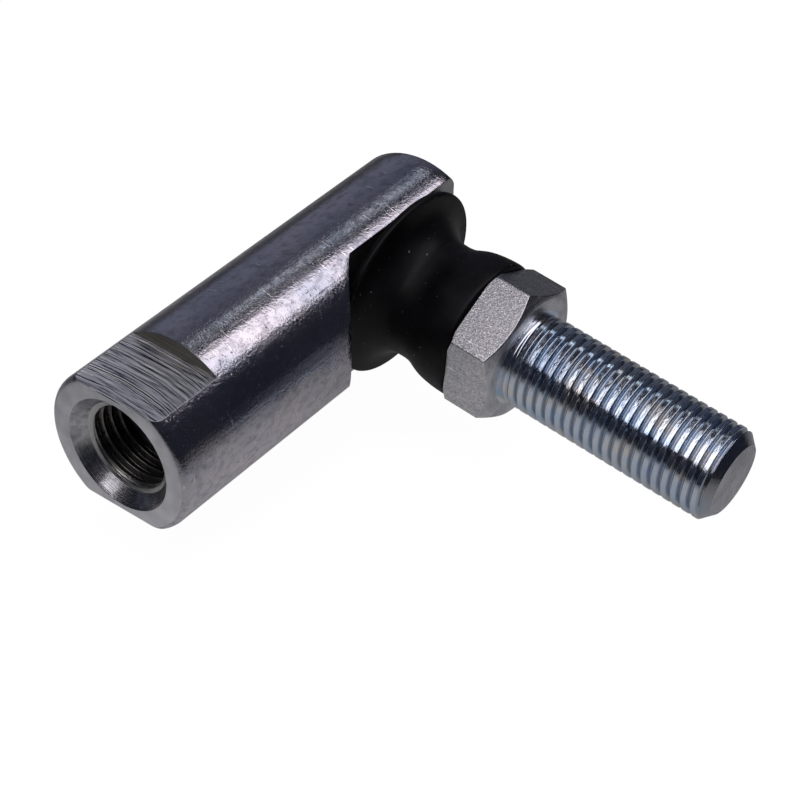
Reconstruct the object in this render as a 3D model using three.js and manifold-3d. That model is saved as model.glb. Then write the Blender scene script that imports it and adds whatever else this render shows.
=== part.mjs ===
// Stud-type rod end bearing: a round-bar housing with a threaded socket, and a ball stud at right angles to it
// under a rubber dust boot. Millimetres, +Z up. The housing runs along Y, its stud side faces +X, and the stud
// droops a little from +X, as it does when the rod end lies on a table.
import * as THREE from "three";
import { mergeVertices } from "three/addons/utils/BufferGeometryUtils.js";
import Module from "manifold-3d";

const wasm = await Module();
wasm.setup();

// Driving dimensions, measured from the ball's centre.
const BAR_RADIUS = 9.525; // 3/4 in bar
const THREAD_RADIUS = 5.556; // 7/16 in thread, outside
const SOCKET_RADIUS = 4.95; // the same thread's crests in the socket
const BALL_RADIUS = 6;
const SOCKET_END = -42.6; // housing's threaded end, along Y
const CLOSED_END = 10.1; // housing's closed end, along Y
const STUD_TIP = 49.7; // stud's free end, along the stud
const STUD_DROOP = THREE.MathUtils.degToRad(6.1); // from square to the housing
const CLEARANCE = 0.25; // between pieces that touch or turn in each other

const SOCKET = { depth: 25, drillPoint: 2.6, mouthRadius: 6.8, mouthDepth: 1.5 };

// The bar's two ends, rounded over from the face out to the bar.
const SOCKET_EDGE = { faceRadius: 8.7, bulgeRadius: 9.28, bulgeLength: 0.3, length: 1 };
const CLOSED_EDGE = { faceRadius: 8.4, bulgeRadius: 8.95, bulgeLength: 0.32, length: 0.95 };

const WRENCH_FLAT = { halfWidth: 7.5, length: 9.4 };
const SIDE_FLAT = { height: 4.05, cutterRadius: 9, cutterEnd: -6.5 };
const CROSS_BORE = { radius: 7.4, coneStart: -3.2, coneEnd: -6.6, pocketRadius: 4.2, pocketFloor: -7.5 };
const RING_GROOVE = { radius: 7.95, start: 2.5, end: 3.2 };
const HEX = { acrossFlats: 15.5, back: 16.7, front: 22.4, turn: THREE.MathUtils.degToRad(3.4) };
const HEX_CHAMFER = { frontRadius: 7.45, backRadius: 8.35, slope: 1.6 };
const NECK = { radius: 3.7, coneStart: 8, collarStart: 12.6, collarRadius: 6.1, taper: 1 };
const TIP = { faceRadius: 4.3, chamfer: 1.25 };

// The dust boot: a flange on the housing's flat, and a waist and a cuff along the stud.
const BOOT = {
  flangeFront: 5.5,
  flangeRadius: 11.4,
  flangeDrop: 0.53, // the flange's centre lies this far below the ball's, as it leans with the stud
  waistStart: 8.4,
  waistEnd: 10.6,
  waistRadius: 7.25,
  flareEnd: 12.7,
  flareRadius: 8.12,
  cuffRadius: 8.42,
  wall: 1.3,
  gap: 0.3,
};

const SEGMENTS = 64;
const INNER_SEGMENTS = 40; // for the pieces inside the housing
const BALL_STEPS = 14; // along half of a circle or less, as the next two are
const SEAT_STEPS = 10;
const RACE_STEPS = 5;
const MERGE_DISTANCE = 1e-4; // vertices nearer than this are one
const FAR = 40; // longer than any cut
const CUT_MARGIN = 1; // how far a cut starts outside what it cuts

// The solid of a closed geometry, its shared vertices merged.
function solidOf(geometry) {
  const bare = geometry.clone().deleteAttribute("normal").deleteAttribute("uv");
  const merged = mergeVertices(bare, MERGE_DISTANCE);
  return new wasm.Manifold(
    new wasm.Mesh({
      numProp: 3,
      vertProperties: merged.attributes.position.array,
      triVerts: new Uint32Array(merged.index.array),
    }),
  );
}

// The geometry of a solid, with one normal per face.
function geometryOf(solid) {
  const mesh = solid.getMesh();
  const geometry = new THREE.BufferGeometry();
  geometry.setAttribute("position", new THREE.BufferAttribute(mesh.vertProperties, 3));
  geometry.setIndex(new THREE.BufferAttribute(mesh.triVerts, 1));
  const faceted = geometry.toNonIndexed();
  faceted.computeVertexNormals();
  return faceted;
}

// A turned geometry about Y, from [radius, height] points listed from the lower end to the upper end.
function turned(profile, segments) {
  const points = profile.map(([radius, height]) => new THREE.Vector2(radius, height));
  return new THREE.LatheGeometry(points, segments);
}

function turnedAlongY(profile, segments = SEGMENTS) {
  return solidOf(turned(profile, segments));
}

function turnedAlongX(profile, segments = SEGMENTS) {
  return solidOf(turned(profile, segments).rotateZ(-Math.PI / 2));
}

// A flat outline in the YZ plane, pushed along X from one height to another.
function pushedAlongX(shape, from, to) {
  const geometry = new THREE.ExtrudeGeometry(shape, {
    depth: to - from,
    bevelEnabled: false,
    curveSegments: SEGMENTS / 2,
  });
  const axes = new THREE.Matrix4().makeBasis(
    new THREE.Vector3(0, 1, 0),
    new THREE.Vector3(0, 0, 1),
    new THREE.Vector3(1, 0, 0),
  );
  return solidOf(geometry.applyMatrix4(axes).translate(from, 0, 0));
}

function block(low, high) {
  const size = high.map((value, axis) => value - low[axis]);
  const centre = high.map((value, axis) => (value + low[axis]) / 2);
  return new THREE.BoxGeometry(...size).translate(...centre);
}

// Points on a sphere's outline about the ball's centre, from one height to another.
function sphereArc(radius, from, to, steps) {
  const first = Math.asin(from / radius);
  const last = Math.asin(to / radius);
  return Array.from({ length: steps + 1 }, (_, i) => {
    const angle = THREE.MathUtils.lerp(first, last, i / steps);
    return [radius * Math.cos(angle), radius * Math.sin(angle)];
  });
}

function part(name, solid, { color, roughness, metalness }) {
  const material = new THREE.MeshStandardMaterial({ color, roughness, metalness });
  const mesh = new THREE.Mesh(geometryOf(solid), material);
  mesh.name = name;
  return mesh;
}

const ZINC = { color: 0x8d9099, roughness: 0.35, metalness: 1 };
const BRIGHT_ZINC = { color: 0xa7adb6, roughness: 0.3, metalness: 1 };
const RUBBER = { color: 0x141416, roughness: 0.6, metalness: 0 };
const NYLON = { color: 0xe6e2d6, roughness: 0.5, metalness: 0 };
const BRONZE = { color: 0xb08a4e, roughness: 0.4, metalness: 1 };
const SPRING_STEEL = { color: 0x5b5d60, roughness: 0.4, metalness: 1 };

// The bar and its socket as one turned profile, from the socket's drill point out of the mouth to the closed end.
function turnedBar() {
  const mouth = SOCKET_END + SOCKET.mouthDepth;
  const threadLead = 0.6;
  const floor = SOCKET_END + SOCKET.depth;
  return turnedAlongY([
    [0, floor + SOCKET.drillPoint],
    [SOCKET_RADIUS, floor],
    [SOCKET_RADIUS, mouth + threadLead],
    [THREAD_RADIUS, mouth],
    [SOCKET.mouthRadius, SOCKET_END],
    [SOCKET_EDGE.faceRadius, SOCKET_END],
    [SOCKET_EDGE.bulgeRadius, SOCKET_END + SOCKET_EDGE.bulgeLength],
    [BAR_RADIUS, SOCKET_END + SOCKET_EDGE.length],
    [BAR_RADIUS, CLOSED_END - CLOSED_EDGE.length],
    [CLOSED_EDGE.bulgeRadius, CLOSED_END - CLOSED_EDGE.bulgeLength],
    [CLOSED_EDGE.faceRadius, CLOSED_END],
    [0, CLOSED_END],
  ]);
}

// The cut of one wrench flat: side is +1 for the upper flat and -1 for the lower one.
function wrenchFlatCut(side) {
  const low = [-FAR / 2, SOCKET_END - CUT_MARGIN, WRENCH_FLAT.halfWidth];
  const high = [FAR / 2, SOCKET_END + WRENCH_FLAT.length, FAR];
  const cut = block(low, high);
  return solidOf(side < 0 ? cut.rotateY(Math.PI) : cut);
}

// The stud's side of the bar, milled flat by an end mill that comes in through the closed end.
function sideFlatCut() {
  const { height, cutterRadius, cutterEnd } = SIDE_FLAT;
  const path = new THREE.Shape();
  path.moveTo(FAR, cutterRadius);
  path.lineTo(cutterEnd, cutterRadius);
  path.absarc(cutterEnd, 0, cutterRadius, Math.PI / 2, (3 * Math.PI) / 2, false);
  path.lineTo(FAR, -cutterRadius);
  path.closePath();
  return pushedAlongX(path, height, FAR);
}

// The blind bore that the ball goes into, with the spring's pocket below and the ring's groove near its mouth.
function crossBoreCut() {
  const { radius, coneStart, coneEnd, pocketRadius, pocketFloor } = CROSS_BORE;
  return turnedAlongX([
    [0, pocketFloor],
    [pocketRadius, pocketFloor],
    [pocketRadius, coneEnd],
    [radius, coneStart],
    [radius, RING_GROOVE.start],
    [RING_GROOVE.radius, RING_GROOVE.start],
    [RING_GROOVE.radius, RING_GROOVE.end],
    [radius, RING_GROOVE.end],
    [radius, FAR],
    [0, FAR],
  ]);
}

function housing() {
  const cuts = [wrenchFlatCut(1), wrenchFlatCut(-1), sideFlatCut(), crossBoreCut()];
  const solid = cuts.reduce((bar, cut) => bar.subtract(cut), turnedBar());
  return part("housing", solid, ZINC);
}

// The hexagon, its corners turned off at both ends.
function hexagon() {
  const cornerRadius = HEX.acrossFlats / Math.sqrt(3);
  const corner = Math.PI / 2 + HEX.turn;
  const outline = new THREE.Shape(
    Array.from({ length: 6 }, (_, i) => {
      const angle = corner + (i * Math.PI) / 3;
      return new THREE.Vector2(Math.cos(angle), Math.sin(angle)).multiplyScalar(cornerRadius);
    }),
  );
  const prism = pushedAlongX(outline, HEX.back, HEX.front);
  const reach = cornerRadius + CUT_MARGIN;
  const { frontRadius, backRadius, slope } = HEX_CHAMFER;
  const corners = turnedAlongX([
    [0, HEX.back],
    [backRadius, HEX.back],
    [reach, HEX.back + (reach - backRadius) / slope],
    [reach, HEX.front - (reach - frontRadius) / slope],
    [frontRadius, HEX.front],
    [0, HEX.front],
  ]);
  return prism.intersect(corners);
}

// Ball, neck, collar and threaded shank, one forging with the hexagon.
function ballStud() {
  const neckStart = Math.sqrt(BALL_RADIUS ** 2 - NECK.radius ** 2);
  const shank = turnedAlongX([
    ...sphereArc(BALL_RADIUS, -BALL_RADIUS, neckStart, BALL_STEPS),
    [NECK.radius, NECK.coneStart],
    [NECK.collarRadius, NECK.collarStart],
    [NECK.collarRadius, HEX.back + NECK.taper],
    [THREAD_RADIUS, HEX.back + 2 * NECK.taper],
    [THREAD_RADIUS, STUD_TIP - TIP.chamfer],
    [TIP.faceRadius, STUD_TIP],
    [0, STUD_TIP],
  ]);
  return part("ball_stud", shank.add(hexagon()), BRIGHT_ZINC);
}

const CUP_RADIUS = CROSS_BORE.radius - CLEARANCE;
const SEAT_RADIUS = BALL_RADIUS + CLEARANCE;
const SPLIT = 0.15; // half of the gap where two race pieces meet
const SPRING_GAP = 0.1; // round a piece that a spring force seats

// The cup below the ball's middle, pushed up by the spring.
function seatCup() {
  const foot = -6.8;
  const footRadius = CROSS_BORE.pocketRadius - CLEARANCE;
  const solid = turnedAlongX(
    [
      [0, foot],
      [footRadius, foot],
      [footRadius, CROSS_BORE.coneEnd + SPRING_GAP],
      [CUP_RADIUS, CROSS_BORE.coneStart + SPRING_GAP],
      [CUP_RADIUS, -SPLIT],
      ...sphereArc(SEAT_RADIUS, -SPLIT, -SEAT_RADIUS, SEAT_STEPS),
    ],
    INNER_SEGMENTS,
  );
  return part("seat_cup", solid, NYLON);
}

// Half of the ring above the ball's middle. The hexagon is wider than the ring's hole, so the ring is split.
function raceHalf(name, side) {
  const top = 3.4;
  const shoulder = RING_GROOVE.start - SPLIT;
  const noseRadius = 6.15;
  const inside = sphereArc(SEAT_RADIUS, top, SPLIT, RACE_STEPS);
  const ring = turnedAlongX(
    [
      inside.at(-1),
      [CUP_RADIUS, SPLIT],
      [CUP_RADIUS, shoulder],
      [noseRadius, shoulder],
      [noseRadius, top],
      ...inside,
    ],
    INNER_SEGMENTS,
  );
  const half = block([-FAR, -FAR, SPLIT], [FAR, FAR, FAR]);
  return part(name, ring.intersect(solidOf(side < 0 ? half.rotateX(Math.PI) : half)), BRONZE);
}

// A coned spring washer, its wide end down.
function discSpring() {
  const outside = 3.9;
  const hole = 1.9;
  const thickness = 0.25;
  const rise = 0.25;
  const foot = CROSS_BORE.pocketFloor + SPRING_GAP;
  const solid = turnedAlongX(
    [
      [hole, foot + rise],
      [outside, foot],
      [outside, foot + thickness],
      [hole, foot + rise + thickness],
      [hole, foot + rise],
    ],
    INNER_SEGMENTS,
  );
  return part("disc_spring", solid, SPRING_STEEL);
}

// An open spring ring in the bore's groove. Its gap slips over the stud's neck.
function retainingRing() {
  const outer = RING_GROOVE.radius - SPLIT;
  const inner = 6.45;
  const halfGap = THREE.MathUtils.degToRad(36);
  const outline = new THREE.Shape();
  outline.absarc(0, 0, outer, halfGap, 2 * Math.PI - halfGap, false);
  outline.absarc(0, 0, inner, 2 * Math.PI - halfGap, halfGap, true);
  outline.closePath();
  const solid = pushedAlongX(outline, RING_GROOVE.start + SPRING_GAP, RING_GROOVE.end - SPRING_GAP);
  return part("retaining_ring", solid, SPRING_STEEL);
}

// The boot is one moulding, made here as three plain rings, because its foot stays on the housing, its middle
// bends and its cuff moves with the stud.
function bootBase() {
  const foot = SIDE_FLAT.height + BOOT.gap;
  const top = 6.2;
  const topRadius = 9.2;
  const inner = topRadius - BOOT.wall;
  const solid = turnedAlongX([
    [inner, foot],
    [BOOT.flangeRadius, foot],
    [BOOT.flangeRadius, BOOT.flangeFront],
    [topRadius, top],
    [inner, top],
    [inner, foot],
  ]);
  return part("boot_base", solid.translate(0, 0, -BOOT.flangeDrop), RUBBER);
}

function bootWaist() {
  const foot = 7.45;
  const footRadius = 7.85;
  const solid = turnedAlongX([
    [footRadius - BOOT.wall, foot],
    [footRadius, foot],
    [BOOT.waistRadius, BOOT.waistStart],
    [BOOT.waistRadius, BOOT.waistEnd],
    [BOOT.waistRadius - BOOT.wall, BOOT.waistEnd],
    [BOOT.waistRadius - BOOT.wall, BOOT.waistStart],
    [footRadius - BOOT.wall, foot],
  ]);
  return part("boot_waist", solid, RUBBER);
}

function bootCuff() {
  const foot = BOOT.waistEnd + BOOT.gap;
  const top = HEX.back - BOOT.gap;
  const grip = NECK.collarRadius + BOOT.gap;
  const solid = turnedAlongX([
    [BOOT.waistRadius - BOOT.wall, foot],
    [BOOT.waistRadius, foot],
    [BOOT.flareRadius, BOOT.flareEnd],
    [BOOT.cuffRadius, top],
    [grip, top],
    [grip, NECK.collarStart - BOOT.gap],
    [BOOT.waistRadius - BOOT.wall, foot],
  ]);
  return part("boot_cuff", solid, RUBBER);
}

// What points along the stud, turned down about the ball's centre.
const studSide = new THREE.Group();
studSide.add(ballStud(), bootWaist(), bootCuff());
studSide.rotation.y = STUD_DROOP;

const assembly = new THREE.Group();
assembly.add(
  housing(),
  seatCup(),
  raceHalf("race_half_upper", 1),
  raceHalf("race_half_lower", -1),
  discSpring(),
  retainingRing(),
  bootBase(),
  studSide,
);

// The origin is the middle of the bounding box's base.
const bounds = new THREE.Box3().setFromObject(assembly, true);
const middle = bounds.getCenter(new THREE.Vector3());
assembly.position.set(-middle.x, -middle.y, -bounds.min.z);

const rodEnd = new THREE.Group();
rodEnd.add(assembly);
export default rodEnd;
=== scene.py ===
"""Stud-type rod end bearing: a round zinc-plated housing with a threaded socket and two wrench flats,
and a ball stud at right angles to it under a rubber dust boot.

Shapes are built in millimetres about the ball's centre: +Y runs along the housing, +X points out of its
milled side. What points along the stud is built square to the housing and then tilted by the droop.
"""

import math

import bmesh
import bpy
import numpy as np
from mathutils import Matrix, Vector


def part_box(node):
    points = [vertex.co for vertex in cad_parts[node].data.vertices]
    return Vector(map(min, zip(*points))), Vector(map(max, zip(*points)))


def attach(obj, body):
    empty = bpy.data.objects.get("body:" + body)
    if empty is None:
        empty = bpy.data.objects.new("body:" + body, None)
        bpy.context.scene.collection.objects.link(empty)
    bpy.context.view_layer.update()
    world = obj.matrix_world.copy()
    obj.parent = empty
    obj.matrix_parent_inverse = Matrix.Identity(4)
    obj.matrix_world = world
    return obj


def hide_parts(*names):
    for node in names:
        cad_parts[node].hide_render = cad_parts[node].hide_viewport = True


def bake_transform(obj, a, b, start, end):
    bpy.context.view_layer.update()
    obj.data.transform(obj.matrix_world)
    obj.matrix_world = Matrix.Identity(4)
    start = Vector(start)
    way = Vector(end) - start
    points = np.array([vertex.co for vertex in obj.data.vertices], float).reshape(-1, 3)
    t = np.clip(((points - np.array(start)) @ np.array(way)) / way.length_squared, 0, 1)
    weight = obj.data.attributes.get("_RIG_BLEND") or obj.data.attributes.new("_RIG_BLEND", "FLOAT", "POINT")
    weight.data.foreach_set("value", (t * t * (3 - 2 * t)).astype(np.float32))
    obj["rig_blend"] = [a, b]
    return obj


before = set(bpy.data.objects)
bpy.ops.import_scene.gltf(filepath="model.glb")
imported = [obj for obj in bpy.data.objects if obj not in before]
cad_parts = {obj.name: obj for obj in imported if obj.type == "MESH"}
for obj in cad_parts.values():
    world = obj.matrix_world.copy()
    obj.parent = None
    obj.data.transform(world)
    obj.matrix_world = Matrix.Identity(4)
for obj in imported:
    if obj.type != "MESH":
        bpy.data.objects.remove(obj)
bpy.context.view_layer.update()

MM = 0.001

# Housing
BAR_RADIUS = 9.525
SOCKET_END = -42.6
CLOSED_END = 10.1
FACE_RADIUS = 8.7
FACE_ROUNDING = 1.0
CLOSED_RADIUS = 8.4
CLOSED_ROUNDING = 0.95
FACE_CORNER = (9.45, SOCKET_END + 0.1)
CLOSED_CORNER = (9.35, CLOSED_END - 0.35)
WRENCH_HALF_WIDTH = 7.5
WRENCH_SHOULDER = SOCKET_END + 9.4
SIDE_FLAT = 4.05
CUTTER_RADIUS = 9.0
CUTTER_END = -6.5
SOCKET_DEPTH = 25.0
DRILL_POINT = 2.6
MOUTH_RADIUS = 6.85
MOUTH_DEPTH = 1.5
LEAD_DEPTH = 0.3
UNTHREADED = 4.0
# The bore for the ball and what holds it, as (radius, x).
CROSS_BORE = [
    (0, -7.5), (4.2, -7.5), (4.2, -6.6), (7.4, -3.2), (7.4, 2.5), (7.95, 2.5), (7.95, 3.2), (7.4, 3.2),
    (7.4, 6.0), (0, 6.0),
]

# Both threads are 7/16 in with 20 turns to the inch.
PITCH = 1.27
THREAD_RADIUS = 5.556
SOCKET_MINOR = 4.95
STUD_MINOR = 5.0
# Pitches over which the socket's thread deepens from its mouth, and over which each thread fades out.
RUN_IN = 0.6
RUN_OUT = 1.5

# Ball stud
BALL_RADIUS = 6.0
STUD_TIP = 49.7
DROOP = math.radians(6.1)
HEX_BACK = 16.7
HEX_FRONT = 22.4
HEX_FLATS = 15.5
HEX_TURN = math.radians(3.4)
HEX_FRONT_RADIUS = 7.45
HEX_BACK_RADIUS = 8.35
HEX_SLOPE = 1.6
NECK_RADIUS = 3.7
NECK_END = 8.0
COLLAR_START = 12.6
COLLAR_RADIUS = 6.1
TIP_RADIUS = 4.3
TIP_CHAMFER = 1.25
THREAD_START_RADIUS = 5.45
THREAD_START_LENGTH = 0.3
SHOULDER_RADII = (6.6, 5.9)
TIP_RADII = (3.0, 0.0)

# How far an edge is cut back on either side, in mm: a plain one, a burr and a corner of the hexagon.
EDGE_WIDTH = 0.1
BURR_WIDTH = 0.42
HEX_EDGE_WIDTH = 0.14

# How an edge is finished, and which material a face of the housing or of the stud has.
SMOOTH, BEVELLED, SHARP, BURRED = 0, 1, 2, 3
BARREL, FACE, MOUTH, SOCKET, WRENCH_FLAT, SHOULDER, SIDE, BURR = range(8)
SHANK, HEX_SIDE, HEX_FACE, THREAD, HEX_EDGE = range(5)


def ball_centre():
    low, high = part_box("housing")
    return Vector((low.x + BAR_RADIUS * MM, high.y - CLOSED_END * MM, (low.z + high.z) / 2))


BALL = ball_centre()
DROOPED = Matrix.Rotation(DROOP, 4, "Y")


# ---- Meshes --------------------------------------------------------------------------------------


def skinned(name, grid, rings=None, lines=None, zones=None, closing=None):
    """A closed mesh from a grid of points, rows x columns x 3, in mm about the ball. Columns close round.

    rings[i, k] says how the edge from column k to k + 1 of row i is finished, and lines[i, k] the edge from
    row i to i + 1 of column k. zones[i, k] is the material of the face between them. closing[i] is the row of
    the first column that row i of the last column joins. Points that coincide are merged.
    """
    rows, columns, _ = grid.shape
    points = grid.reshape(-1, 3) * MM + np.array(BALL)
    index = np.arange(rows * columns).reshape(rows, columns)
    following = np.roll(index, -1, axis=1)
    if closing is not None:
        following[:, -1] = index[closing, 0]
    quads = np.stack([index[:-1], following[:-1], following[1:], index[1:]], axis=-1).reshape(-1, 4)
    mesh = bpy.data.meshes.new(name)
    mesh.from_pydata(points.tolist(), [], quads.tolist())
    if zones is not None:
        mesh.polygons.foreach_set("material_index", zones[:-1].ravel().astype(np.int32))
    bm = bmesh.new()
    bm.from_mesh(mesh)
    finish_edges(bm, columns, rings, lines)
    bmesh.ops.remove_doubles(bm, verts=bm.verts, dist=1e-7)
    bmesh.ops.dissolve_degenerate(bm, edges=bm.edges, dist=1e-8)
    bmesh.ops.recalc_face_normals(bm, faces=bm.faces)
    for face in bm.faces:
        face.smooth = True
    bm.to_mesh(mesh)
    bm.free()
    obj = bpy.data.objects.new(name, mesh)
    bpy.context.scene.collection.objects.link(obj)
    return obj


def finish_edges(bm, columns, rings, lines):
    """Marks the edges of a mesh that still has its grid's numbering."""
    if rings is None:
        return
    layers = bm.edges.layers.float
    weights = {BEVELLED: layers.new("bevelled"), BURRED: layers.new("burred")}
    for edge in bm.edges:
        (row_a, column_a), (row_b, column_b) = (divmod(v.index, columns) for v in edge.verts)
        if row_a == row_b:
            first, second = sorted((column_a, column_b))
            finish = rings[row_a, first if second - first == 1 else second]
        else:
            finish = lines[min(row_a, row_b), column_a]
        if finish in weights:
            edge[weights[finish]] = 1.0
        edge.smooth = finish != SHARP


def bevelled(obj, width, edges="bevelled", zone=-1):
    """Rounds the edges with this mark. The faces made get their own zone, or the one beside them."""
    bevel = obj.modifiers.new("edges", "BEVEL")
    bevel.limit_method = "WEIGHT"
    bevel.edge_weight = edges
    bevel.width = width * MM
    bevel.segments = 3
    bevel.material = zone
    bevel.use_clamp_overlap = True
    bevel.harden_normals = True
    return applied(obj)


def applied(obj):
    """Turns an object's modifiers into mesh."""
    bpy.context.view_layer.update()
    shown = obj.evaluated_get(bpy.context.evaluated_depsgraph_get())
    mesh = bpy.data.meshes.new_from_object(shown)
    obj.modifiers.clear()
    obj.data = mesh
    return obj


def cut(obj, cutter):
    """Takes cutter away from obj, and removes it."""
    difference = obj.modifiers.new("cut", "BOOLEAN")
    difference.operation = "DIFFERENCE"
    difference.solver = "EXACT"
    difference.object = cutter
    applied(obj)
    bpy.data.objects.remove(cutter)
    return obj


def turned_along_x(profile, angles):
    """Grid rows about +X from [radius, x] pairs. An angle is from +Z towards -Y."""
    radius, x = np.array(profile, float).T
    return np.stack(
        [
            np.repeat(x[:, None], len(angles), axis=1),
            -radius[:, None] * np.sin(angles),
            radius[:, None] * np.cos(angles),
        ],
        axis=-1,
    )


def drooped(grid):
    """Turns grid rows down about the ball's centre by the droop."""
    x, y, z = grid[..., 0], grid[..., 1], grid[..., 2]
    c, s = np.cos(DROOP), np.sin(DROOP)
    return np.stack([x * c + z * s, y, z * c - x * s], axis=-1)


def lerp(a, b, t):
    return a + (b - a) * t


def between(first, last, count):
    return np.linspace(first, last, count, endpoint=False)


def rounded_corner(start, corner, end, steps=6):
    """Points on a curve from start to end that is pulled towards the corner."""
    start, corner, end = (np.array(point) for point in (start, corner, end))
    shares = np.linspace(0, 1, steps + 1)
    return [lerp(lerp(start, corner, t), lerp(corner, end, t), t) for t in shares]


# ---- Thread --------------------------------------------------------------------------------------

TURN_ROWS = 32
PROFILE_STEPS = 400
ROUNDING_STEPS = 16


def thread_profile(crest, root, crest_share, root_share):
    """One pitch of a thread, from crest to crest, as places along the pitch and radii, with rounded corners.
    The shares are how much of the pitch is flat at the crest's radius and at the root's."""
    flank = 0.5 - root_share / 2
    fine = np.arange(PROFILE_STEPS) / PROFILE_STEPS
    corners = [0, crest_share / 2, flank, 1 - flank, 1 - crest_share / 2, 1]
    outline = np.interp(fine, corners, [crest, crest, root, root, crest, crest])
    rounding = np.hanning(ROUNDING_STEPS)
    rounded = np.convolve(np.tile(outline, 3), rounding / rounding.sum(), mode="same")
    outline = rounded[PROFILE_STEPS : 2 * PROFILE_STEPS]
    at = between(0, 1, TURN_ROWS)
    return at, np.interp(at, fine, outline)


def helix_rows(start, end, profile, angles):
    """(position, radius) grids of a right-hand thread's surface between two stations along its axis. Going
    once round adds a pitch, so the last column joins the first one TURN_ROWS further on."""
    at, radius = profile
    turns = int(math.ceil((end - start) / PITCH)) + 1
    pitches = (np.arange(-1, turns)[:, None] + at[None, :]).ravel()
    radii = np.tile(radius, turns + 1)
    station = start + PITCH * (pitches[:, None] + (angles[None, :] - angles[0]) / (2 * math.pi))
    return np.clip(station, start, end), np.broadcast_to(radii[:, None], station.shape)


def closing_rows(count, first, last, step):
    """Which row each row closes onto. A thread's, from first to last, close onto the row a step away."""
    rows = np.arange(count)
    rows[first : last + 1] = np.clip(rows[first : last + 1] + step, first, last)
    return rows


# ---- Housing -------------------------------------------------------------------------------------

WRENCH_EDGE = math.asin(WRENCH_HALF_WIDTH / BAR_RADIUS)
SIDE_EDGE = math.acos(SIDE_FLAT / BAR_RADIUS)
SIDE_FLAT_HALF_WIDTH = BAR_RADIUS * math.sin(SIDE_EDGE)


def bar_columns():
    """Angles round the bar from +X towards +Z, with a column on every edge of its flats."""
    stops = [0, WRENCH_EDGE, SIDE_EDGE, math.pi - WRENCH_EDGE, math.pi]
    counts = [28, 8, 32, 28]
    half = np.concatenate([between(a, b, n) for a, b, n in zip(stops, stops[1:], counts)])
    return np.round(np.concatenate([half, [math.pi], 2 * math.pi - half[:0:-1]]), 9)


COLUMNS = bar_columns()
SIGNED = np.where(COLUMNS > math.pi, COLUMNS - 2 * math.pi, COLUMNS)
ON_WRENCH = (np.abs(SIGNED) > WRENCH_EDGE - 1e-6) & (np.abs(SIGNED) < math.pi - WRENCH_EDGE + 1e-6)
ON_SIDE = np.abs(SIGNED) < SIDE_EDGE + 1e-6


def round_section(radius):
    return radius * np.cos(COLUMNS), radius * np.sin(COLUMNS)


def wrench_section(radius):
    """The bar's section across its wrench flats, at a radius wider than the flats."""
    edge = math.asin(WRENCH_HALF_WIDTH / radius)
    size = np.abs(SIGNED)
    folded = np.minimum(size, math.pi - size) * edge / WRENCH_EDGE
    x = radius * np.cos(folded) * np.sign(np.cos(SIGNED))
    z = radius * np.sin(folded) * np.sign(SIGNED)
    flat_x = np.cos(SIGNED) / math.cos(WRENCH_EDGE) * radius * math.cos(edge)
    return np.where(ON_WRENCH, flat_x, x), np.where(ON_WRENCH, np.sign(SIGNED) * WRENCH_HALF_WIDTH, z)


def side_section(radius):
    """The bar's section through its milled side."""
    edge = math.acos(SIDE_FLAT / radius)
    away = (math.pi - np.abs(SIGNED)) * (math.pi - edge) / (math.pi - SIDE_EDGE)
    x = -radius * np.cos(away)
    z = radius * np.sin(away) * np.sign(SIGNED)
    flat_z = np.sin(SIGNED) / math.sin(SIDE_EDGE) * radius * math.sin(edge)
    return np.where(ON_SIDE, SIDE_FLAT, x), np.where(ON_SIDE, flat_z, z)


def ring_at(section, y):
    x, z = section
    return np.stack([x, np.broadcast_to(y, x.shape), z], axis=-1)


def side_shoulder():
    """How far the milled side reaches towards the socket, for each column."""
    z = np.where(ON_SIDE, BAR_RADIUS * np.sin(SIGNED), BAR_RADIUS * math.sin(SIDE_EDGE))
    return CUTTER_END - np.sqrt(CUTTER_RADIUS**2 - z**2)


MOUTH_ROWS = 5


def socket_rows():
    """The socket from the drill's point out to its mouth: the thread, a short lead and the countersink."""
    floor = SOCKET_END + SOCKET_DEPTH
    thread_end, lead_start = floor - UNTHREADED, SOCKET_END + MOUTH_DEPTH
    lead_end = lead_start + LEAD_DEPTH
    bottom = ((0.0, floor + DRILL_POINT), (SOCKET_MINOR, floor))
    rows = [ring_at(round_section(radius), y) for radius, y in bottom]
    profile = thread_profile(SOCKET_MINOR, THREAD_RADIUS, 0.3, 0.12)
    y, radius = helix_rows(lead_start, thread_end, profile, COLUMNS)
    running_out = np.clip((thread_end - y) / (RUN_OUT * PITCH), 0, 1)
    depth = running_out * np.clip((y - lead_start) / (RUN_IN * PITCH), 0, 1)
    lead = np.interp(y, [lead_start, lead_end], [THREAD_RADIUS, SOCKET_MINOR])
    radius = np.maximum(SOCKET_MINOR + (radius - SOCKET_MINOR) * depth, lead)
    x, z = round_section(radius)
    rows += list(np.stack([x, y, z], axis=-1)[::-1])
    for t in np.linspace(0, 1, MOUTH_ROWS):
        section = round_section(lerp(THREAD_RADIUS, MOUTH_RADIUS, t))
        rows.append(ring_at(section, lerp(lead_start, SOCKET_END, t)))
    return rows


# Whether the part of a ring from this column to the next lies on a flat.
WRENCH_RING = ON_WRENCH & np.roll(ON_WRENCH, -1)
SIDE_RING = ON_SIDE & np.roll(ON_SIDE, -1)


class Skin:
    """Grid rows, how the edges along and between them are finished, and the materials of the faces."""

    def __init__(self):
        self.rows, self.rings, self.lines, self.zones = [], [], [], []

    def add(self, section, y, along=SMOOTH, across=SMOOTH, zone=BARREL):
        self.add_ring(ring_at(section, y), along, across, zone)

    def add_ring(self, ring, along=SMOOTH, across=SMOOTH, zone=BARREL):
        self.rows.append(ring)
        for values, value in ((self.rings, along), (self.lines, across), (self.zones, zone)):
            values.append(np.broadcast_to(value, COLUMNS.shape))


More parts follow.
